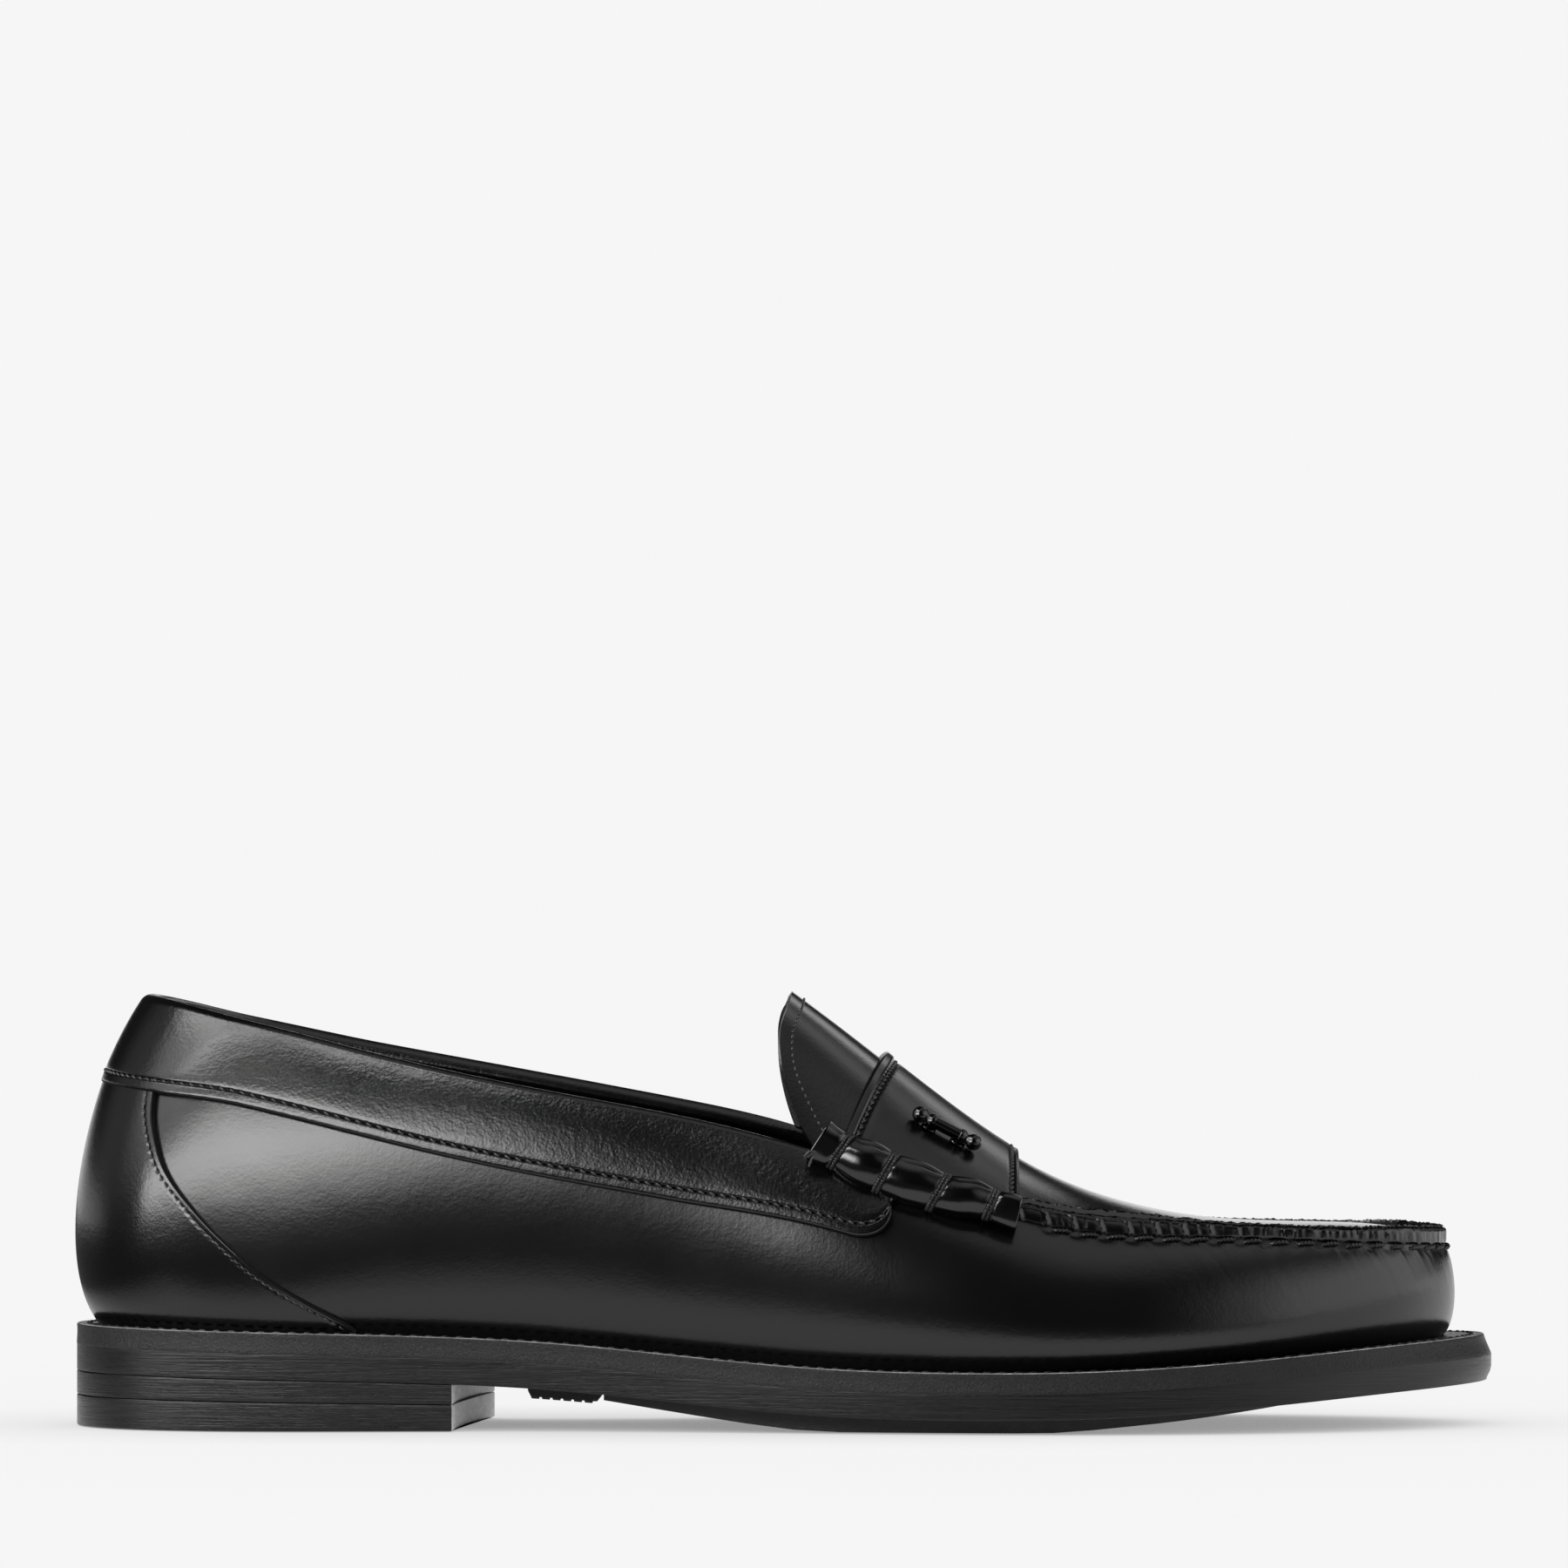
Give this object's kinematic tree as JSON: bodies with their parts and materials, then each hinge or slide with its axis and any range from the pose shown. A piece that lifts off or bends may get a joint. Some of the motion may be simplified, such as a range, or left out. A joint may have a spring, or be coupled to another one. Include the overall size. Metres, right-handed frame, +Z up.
{
  "type": "penny loafer",
  "caption": "Low slip-on leather shoe with a raised hand-sewn apron seam, a saddle strap between thread-bound rolls, a small metal bar, a stitched welt sole and a stacked heel.",
  "frame": {"origin": "on the floor under the centre of the whole shoe's box", "axes": "+X towards the toe, +Y towards the inner side of the foot, +Z up; a shoe for the right foot"},
  "size_m": [0.3, 0.106, 0.0915],
  "materials": {
    "box_calf": "polished black box calf, fine grain, soft highlights",
    "lining": "smooth black lining leather",
    "sole_edge": "stacked sole leather, black edge dressing",
    "rubber": "matte black rubber",
    "cork": "granulated cork filler",
    "insole_board": "leatherboard",
    "fibre": "stiffened fibre",
    "foam": "open-cell padding",
    "steel": "plain steel",
    "gunmetal": "dark polished metal",
    "thread": "waxed black thread"
  },
  "bodies": {
    "root": {"apron_and_tongue": "box_calf", "apron_thread": "thread", "beef_roll_inner": "box_calf", "beef_roll_outer": "box_calf", "collar_band": "box_calf", "collar_foam": "foam", "collar_thread": "thread", "cork_filler": "cork", "counter_cover": "box_calf", "counter_thread_inner": "thread", "counter_thread_outer": "thread", "forefoot_tread": "rubber", "heel_lift": "sole_edge", "heel_nail_1": "steel", "heel_nail_2": "steel", "heel_nail_3": "steel", "heel_nail_4": "steel", "heel_nail_5": "steel", "heel_stiffener": "fibre", "heel_top_piece": "rubber", "insole_board": "insole_board", "ornament_bar": "gunmetal", "ornament_post_1": "gunmetal", "ornament_post_2": "gunmetal", "outsole": "sole_edge", "quarter_lining": "lining", "roll_wrap_inner_1": "thread", "roll_wrap_inner_2": "thread", "roll_wrap_inner_3": "thread", "roll_wrap_inner_4": "thread", "roll_wrap_outer_1": "thread", "roll_wrap_outer_2": "thread", "roll_wrap_outer_3": "thread", "roll_wrap_outer_4": "thread", "saddle_strap": "box_calf", "sock_liner": "lining", "steel_shank": "steel", "strap_thread_back": "thread", "strap_thread_front": "thread", "toe_puff": "fibre", "tongue_lining": "lining", "tongue_thread": "thread", "vamp_lining": "lining", "vamp_wall": "box_calf", "waist_tread": "rubber", "welt": "sole_edge", "welt_thread": "thread"}
  },
  "joints": []
}
